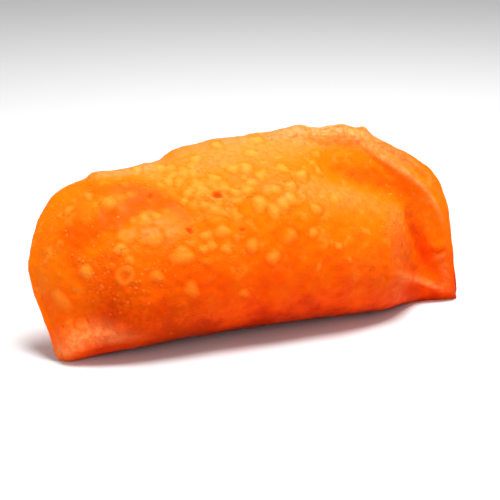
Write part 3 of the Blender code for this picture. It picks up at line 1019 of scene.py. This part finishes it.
class Board:
    """Places and links the nodes of one material or group."""

    def __init__(self, tree: bpy.types.NodeTree) -> None:
        """Works on the given tree."""
        self.tree = tree

    def add(self, kind: str, inputs: dict | None = None, **settings: object) -> bpy.types.Node:
        """Adds a node.

        Args:
            kind: The node's type.
            inputs: Values or sockets for its inputs, by name or number.
            **settings: Its other settings.

        Returns:
            The node.
        """
        node = self.tree.nodes.new(kind)
        for name, value in settings.items():
            setattr(node, name, value)
        for name, value in (inputs or {}).items():
            self.feed(node.inputs[name], value)
        return node

    def feed(self, socket: bpy.types.NodeSocket, value: object) -> None:
        """Links a socket to the input, or sets the input's own value.

        Args:
            socket: The input.
            value: A socket, a number or a colour.
        """
        if isinstance(value, bpy.types.NodeSocket):
            self.tree.links.new(value, socket)
        elif isinstance(value, tuple) and len(value) == 3 and len(socket.default_value) == 4:
            socket.default_value = (*value, 1.0)
        else:
            socket.default_value = value

    def mix(self, factor: object, first: object, second: object) -> bpy.types.NodeSocket:
        """Blends from the first colour to the second."""
        return self.add("ShaderNodeMix", {0: factor, 6: first, 7: second}, data_type="RGBA").outputs[2]

    def maths(self, operation: str, first: object, second: object = 0.0) -> bpy.types.NodeSocket:
        """Does one sum."""
        return self.add("ShaderNodeMath", {0: first, 1: second}, operation=operation).outputs[0]

    def ease(
        self, value: object, low: float, high: float, least: float = 0.0, most: float = 1.0
    ) -> bpy.types.NodeSocket:
        """Eases a value from one range to another.

        Args:
            value: The value.
            low: Where the result is least.
            high: Where the result is most.
            least: The result at low.
            most: The result at high.

        Returns:
            The eased value's socket.
        """
        inputs = {0: value, 1: low, 2: high, 3: least, 4: most}
        return self.add("ShaderNodeMapRange", inputs, interpolation_type="SMOOTHSTEP").outputs[0]

    def within(self, value: object, span: Pair) -> bpy.types.NodeSocket:
        """Eases a value that runs from 0 to 1 into a span."""
        return self.ease(value, 0.0, 1.0, *span)

    def times(self, first: object, second: object) -> bpy.types.NodeSocket:
        """Multiplies two values."""
        return self.maths("MULTIPLY", first, second)

    def noise(
        self, place: object, scale: object, detail: float = 3.0, rough: float = 0.5
    ) -> bpy.types.NodeSocket:
        """Reads a cloudy noise.

        Args:
            place: The coordinates.
            scale: Cells a metre.
            detail: How many finer layers it has.
            rough: How strong those are.

        Returns:
            The noise's socket, 0 to 1.
        """
        inputs = {"Vector": place, "Scale": scale, "Detail": detail, "Roughness": rough}
        return self.add("ShaderNodeTexNoise", inputs).outputs[0]

    def mask(self, name: str) -> bpy.types.NodeSocket:
        """Reads one of the shell's masks."""
        return self.add("ShaderNodeAttribute", attribute_name=name).outputs["Fac"]

    def place(self) -> bpy.types.NodeSocket:
        """Reads the place on the object, in metres."""
        return self.add("ShaderNodeTexCoord").outputs["Object"]


class Effect:
    """A shader node group that several finishes share."""

    name = "effect"
    inputs: dict[str, float] = {}
    outputs: tuple[str, ...] = ()

    def __init__(self) -> None:
        """Builds the group once."""
        self.group = bpy.data.node_groups.new(self.name, "ShaderNodeTree")
        for name, value in self.inputs.items():
            socket = self.group.interface.new_socket(name, in_out="INPUT", socket_type="NodeSocketFloat")
            socket.default_value = value
        for name in self.outputs:
            self.group.interface.new_socket(name, in_out="OUTPUT", socket_type="NodeSocketFloat")
        board = Board(self.group)
        self.draw(board, board.add("NodeGroupInput").outputs, board.add("NodeGroupOutput").inputs)

    def draw(self, board: Board, given: object, result: object) -> None:
        """Lays out the group's nodes; each effect has its own way."""
        raise NotImplementedError

    def on(self, board: Board, **values: float) -> bpy.types.bpy_prop_collection:
        """Places the group in a material.

        Args:
            board: The material's board.
            **values: The group's input values, by name in lower case.

        Returns:
            The group node's outputs.
        """
        node = board.add("ShaderNodeGroup")
        node.node_tree = self.group
        for name, value in values.items():
            board.feed(node.inputs[name.capitalize()], value)
        return node.outputs


class FineGrain(Effect):
    """The dough's own grain: a fine sandy height, and the pale flecks of pin-point bubbles."""

    name = "fine_grain"
    inputs = {"Scale": 900.0}
    outputs = ("Height", "Fleck")

    def draw(self, board: Board, given: object, result: object) -> None:
        """Mixes a cloudy noise with small round cells.

        Args:
            board: The group's board.
            given: The group's inputs.
            result: The group's outputs.
        """
        place = board.place()
        sand = board.noise(place, given["Scale"], 4.0, 0.6)
        cells = board.add("ShaderNodeTexVoronoi", {"Vector": place, "Scale": given["Scale"]}, feature="F1")
        dots = board.ease(cells.outputs["Distance"], 0.42, 0.12)
        crowd = board.ease(board.noise(place, 85.0, 2.0), 0.48, 0.66)
        fleck = board.times(dots, crowd)
        board.feed(result["Fleck"], fleck)
        board.feed(result["Height"], board.maths("ADD", board.times(sand, 0.6), fleck))


class OilFilm(Effect):
    """Where oil still lies on the dough."""

    name = "oil_film"
    inputs = {"Scale": 60.0}
    outputs = ("Film",)

    def draw(self, board: Board, given: object, result: object) -> None:
        """Spreads the oil in soft patches."""
        patches = board.noise(board.place(), given["Scale"], 3.0, 0.6)
        board.feed(result["Film"], board.ease(patches, 0.35, 0.65))


class Mottle(Effect):
    """The uneven colour of fried dough: broad clouds, small yellow spots where it is thin, and specks."""

    name = "mottle"
    inputs = {"Scale": 90.0}
    outputs = ("Cloud", "Spot", "Speck")

    def draw(self, board: Board, given: object, result: object) -> None:
        """Lays clouds, spots and specks, each finer than the last.

        Args:
            board: The group's board.
            given: The group's inputs.
            result: The group's outputs.
        """
        place = board.place()
        board.feed(result["Cloud"], board.ease(board.noise(place, given["Scale"], 3.0, 0.55), 0.32, 0.68))
        finer = board.times(given["Scale"], 2.7)
        board.feed(result["Spot"], board.ease(board.noise(place, finer, 2.0, 0.5), 0.55, 0.72))
        finest = board.times(given["Scale"], 6.0)
        board.feed(result["Speck"], board.ease(board.noise(place, finest, 4.0, 0.6), 0.35, 0.65))


@dataclass(frozen=True)
class Effects:
    """The shared effects, each built once."""

    grain: FineGrain
    oil: OilFilm
    mottle: Mottle


@dataclass(frozen=True)
class FriedDough:
    """Orange rice dough, fried: yellow where blisters thinned it and oily on top, with painted light and
    shade that make it paler on top and deeper and redder low down.
    """

    # Painted light and shade by height: the light colour on top, the shaded base low down and the floor shade
    # nearest the floor.
    light: Colour = (0.98, 0.178, 0.001)
    shaded_base: Colour = (0.88, 0.041, 0.0002)
    floor_shade: Colour = (0.44, 0.017, 0.0002)
    # Painted shade in creases, valleys and under ledges, with a deeper copy low down.
    folded: Colour = (0.96, 0.090, 0.0005)
    folded_low: Colour = (0.86, 0.040, 0.0002)
    # Thin dough over blisters, with a shaded copy low down.
    thin: Colour = (0.98, 0.312, 0.032)
    thin_low: Colour = (0.98, 0.220, 0.006)
    # Paler pinched dough and tiny flecks, and also the colour of the painted light and highlights.
    pale_fleck_and_highlight: Colour = (0.98, 0.33, 0.085)
    browned: Colour = (0.52, 0.045, 0.001)
    hole: Colour = (0.82, 0.060, 0.0005)
    roughness: Pair = (0.40, 0.55)
    coat: Pair = (0.0, 0.02)
    pale_coat: float = 0.16
    coat_roughness: float = 0.32
    specular: float = 0.04
    specular_tint: Colour = (1.0, 0.5, 0.15)
    subsurface: float = 0.2
    subsurface_radius: Colour = (1.0, 0.3, 0.06)
    subsurface_scale: float = 0.004
    # Heights of the painted light and shade; the lifts paint the two ends lighter.
    floor_shade_below: float = 0.024
    deep_below: float = 0.002
    light_above: float = 0.066
    right_lift: float = 0.012
    left_lift: float = 0.019
    cloud_lift: float = 0.012
    grain_height: float = 0.0003
    grain_scale: float = 820.0
    mottle_scale: float = 75.0
    oil_scale: float = 55.0
    # Where the painted light lifts the two ends, in metres.
    right_end: Pair = (0.010, 0.080)
    left_end: Pair = (-0.070, -0.088)
    spot_share: float = 0.45
    fleck_share: Pair = (0.02, 0.2)
    painted_shade_share: float = 0.85
    pale_share: Pair = (0.42, 1.0)
    stain_share: Pair = (0.45, 1.2)
    blister_share: Pair = (0.45, 0.85)
    blister_in_fold: float = 0.3

    def material(self, effects: Effects) -> bpy.types.Material:
        """Makes the dough's material.

        Args:
            effects: The shared effects.

        Returns:
            The material.
        """
        material, board, inputs = new_material("fried_dough")
        grain = effects.grain.on(board, scale=self.grain_scale)
        mottle = effects.mottle.on(board, scale=self.mottle_scale)
        film = effects.oil.on(board, scale=self.oil_scale)["Film"]
        place = board.add("ShaderNodeSeparateXYZ", {0: board.place()}).outputs
        # Painted light: the two ends are lifted in the height ramp, as is a random cloud of tone.
        right_end = board.ease(place["X"], *self.right_end, 0.0, self.right_lift)
        left_end = board.ease(place["X"], *self.left_end, 0.0, self.left_lift)
        cloud = board.times(board.maths("SUBTRACT", mottle["Cloud"], 0.5), self.cloud_lift)
        lift = board.maths("ADD", cloud, board.maths("ADD", right_end, left_end))
        # Painted light and shade: paler towards the top, deeper and redder low down.
        up = board.ease(board.maths("ADD", place["Z"], lift), self.deep_below, self.light_above)
        colour = board.mix(up, self.shaded_base, self.light)
        # Painted shade nearest the floor.
        low = board.ease(board.maths("ADD", place["Z"], lift), self.floor_shade_below, 0.0)
        colour = board.mix(low, colour, self.floor_shade)
        # Lit and shaded copies of the thin and folded colours, by height.
        thin = board.mix(up, self.thin_low, self.thin)
        folded = board.mix(up, self.folded_low, self.folded)
        fold, pale, speck = board.mask("fold"), board.mask("pale"), mottle["Speck"]
        # Yellow spots and pale flecks fade low down, in the painted shade.
        spots = board.times(mottle["Spot"], board.times(up, self.spot_share))
        colour = board.mix(spots, colour, thin)
        flecks = board.times(grain["Fleck"], board.within(up, self.fleck_share))
        colour = board.mix(flecks, colour, self.pale_fleck_and_highlight)
        # Painted shade in creases, valleys, under ledges and round blisters.
        colour = board.mix(board.times(fold, self.painted_shade_share), colour, folded)
        # Painted light and highlights from the pale mask, broken up by specks.
        colour = board.mix(board.times(pale, board.within(speck, self.pale_share)), colour, self.pale_fleck_and_highlight)
        # Browned dough, and painted shade along the bottom of the front.
        stain = board.times(board.mask("stain"), board.within(speck, self.stain_share))
        colour = board.mix(stain, colour, self.browned)
        # Blisters are less yellow low down and in the painted shade.
        raised = board.times(board.mask("blister"), board.within(up, self.blister_share))
        raised = board.times(raised, board.within(fold, (1.0, self.blister_in_fold)))
        colour = board.mix(raised, colour, thin)
        colour = board.mix(board.mask("hole"), colour, self.hole)
        oil = board.maths("ADD", board.times(pale, self.pale_coat), board.within(film, self.coat))
        rough = board.add("ShaderNodeBump", {"Height": grain["Height"], "Distance": self.grain_height})
        finish = {
            "Base Color": colour,
            "Roughness": board.within(film, self.roughness[::-1]),
            "Coat Weight": oil,
            "Coat Roughness": self.coat_roughness,
            "Specular IOR Level": self.specular,
            "Specular Tint": self.specular_tint,
            "Subsurface Weight": self.subsurface,
            "Subsurface Radius": self.subsurface_radius,
            "Subsurface Scale": self.subsurface_scale,
            "Normal": rough.outputs["Normal"],
        }
        for name, value in finish.items():
            board.feed(inputs[name], value)
        return material


@dataclass(frozen=True)
class BubbleFilm:
    """The thin crisp film of the finest bubbles, paler than the dough under it, with painted shade that makes
    the lower ones deeper.
    """

    # Lit and shaded copies of the film: painted shade makes the lower bubbles deeper.
    high: Colour = (0.98, 0.21, 0.016)
    low: Colour = (0.90, 0.062, 0.001)
    roughness: float = 0.5
    specular: float = 0.03
    grain_height: float = 0.00008
    grain_scale: float = 2400.0
    mottle_scale: float = 75.0
    pales_over: Pair = (0.015, 0.045)
    cloud_share: Pair = (0.7, 1.0)

    def material(self, effects: Effects) -> bpy.types.Material:
        """Makes the film's material.

        Args:
            effects: The shared effects.

        Returns:
            The material.
        """
        material, board, inputs = new_material("bubble_film")
        height = board.add("ShaderNodeSeparateXYZ", {0: board.place()}).outputs["Z"]
        cloud = effects.mottle.on(board, scale=self.mottle_scale)["Cloud"]
        # Painted light and shade: paler higher up, deeper low down.
        up = board.times(board.ease(height, *self.pales_over), board.within(cloud, self.cloud_share))
        grain = effects.grain.on(board, scale=self.grain_scale)
        rough = board.add("ShaderNodeBump", {"Height": grain["Height"], "Distance": self.grain_height})
        board.feed(inputs["Base Color"], board.mix(up, self.low, self.high))
        board.feed(inputs["Roughness"], self.roughness)
        board.feed(inputs["Specular IOR Level"], self.specular)
        board.feed(inputs["Normal"], rough.outputs["Normal"])
        return material


@dataclass(frozen=True)
class SoftLight:
    """One large soft light that looks at the turnover."""

    name: str
    place: Triple
    size: float
    power: float
    aim: Triple = (0, 0, 0.03)

    def build(self) -> None:
        """Hangs the light."""
        data = bpy.data.lights.new(self.name, "AREA")
        data.shape = "DISK"
        data.size = self.size
        data.energy = self.power
        lamp = bpy.data.objects.new(self.name, data)
        lamp.location = self.place
        lamp.rotation_mode = "QUATERNION"
        lamp.rotation_quaternion = (Vector(self.aim) - Vector(self.place)).to_track_quat("-Z", "Y")
        bpy.context.scene.collection.objects.link(lamp)


@dataclass
class Studio:
    """The pale floor, the soft lights and the camera."""

    azimuth: float = -20.0
    elevation: float = 19.0
    distance: float = 0.52
    lens: float = 85.0
    target: Triple = (-0.0025, 0.0020, 0.0335)
    floor_size: float = 6.0
    floor_colour: Colour = (0.75, 0.75, 0.75)
    floor_roughness: float = 0.9
    sky: Colour = (1.0, 1.0, 1.0)
    sky_strength: float = 0.42
    lights: tuple[SoftLight, ...] = (
        SoftLight("overhead", (0.12, 0.0, 0.95), 0.5, 13.0),
        SoftLight("front_fill", (-0.85, -1.0, 0.55), 0.9, 2.8),
    )

    def build(self) -> None:
        """Sets up the floor, the sky, the lights and the camera."""
        self.build_floor()
        self.build_sky()
        for light in self.lights:
            light.build()
        self.build_camera()

    def build_floor(self) -> None:
        """Lays the plain pale floor."""
        half = self.floor_size / 2
        corners = [(-half, -half, 0), (half, -half, 0), (half, half, 0), (-half, half, 0)]
        floor = add_piece("floor", corners, [(0, 1, 2, 3)])
        material, board, inputs = new_material("pale_floor")
        board.feed(inputs["Base Color"], self.floor_colour)
        board.feed(inputs["Roughness"], self.floor_roughness)
        floor.data.materials.append(material)

    def build_sky(self) -> None:
        """Makes the even light all round, and keeps colours as they are lit."""
        scene = bpy.context.scene
        scene.world = bpy.data.worlds.new("studio")
        scene.world.use_nodes = True
        background = scene.world.node_tree.nodes["Background"]
        background.inputs["Color"].default_value = (*self.sky, 1.0)
        background.inputs["Strength"].default_value = self.sky_strength
        scene.view_settings.view_transform = "Standard"

    def build_camera(self) -> None:
        """Puts the camera at the photograph's angle."""
        around, above = math.radians(self.azimuth), math.radians(self.elevation)
        level = math.cos(above)
        back = Vector((math.sin(around) * level, -math.cos(around) * level, math.sin(above)))
        data = bpy.data.cameras.new("camera")
        data.lens = self.lens
        data.clip_start = 0.01
        camera = bpy.data.objects.new("camera", data)
        camera.location = Vector(self.target) + back * self.distance
        camera.rotation_mode = "QUATERNION"
        camera.rotation_quaternion = (-back).to_track_quat("-Z", "Y")
        bpy.context.scene.collection.objects.link(camera)
        bpy.context.scene.camera = camera


def main() -> None:
    """Loads the frame and builds the turnover and its studio."""
    logging.basicConfig(level=logging.INFO, format="%(name)s: %(message)s")
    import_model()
    Studio().build()
    log.info("studio: floor, lights and camera")
    effects = Effects(FineGrain(), OilFilm(), Mottle())
    dough = DoughShell()
    shell = dough.build()
    shell.data.materials.append(FriedDough().material(effects))
    log.info("dough_shell: %d faces", len(shell.data.polygons))
    bubbles = FineBubbles().build(shell, dough.shift)
    bubbles.data.materials.append(BubbleFilm().material(effects))
    log.info("fine_bubbles: %d faces", len(bubbles.data.polygons))


if __name__ == "__main__":
    main()
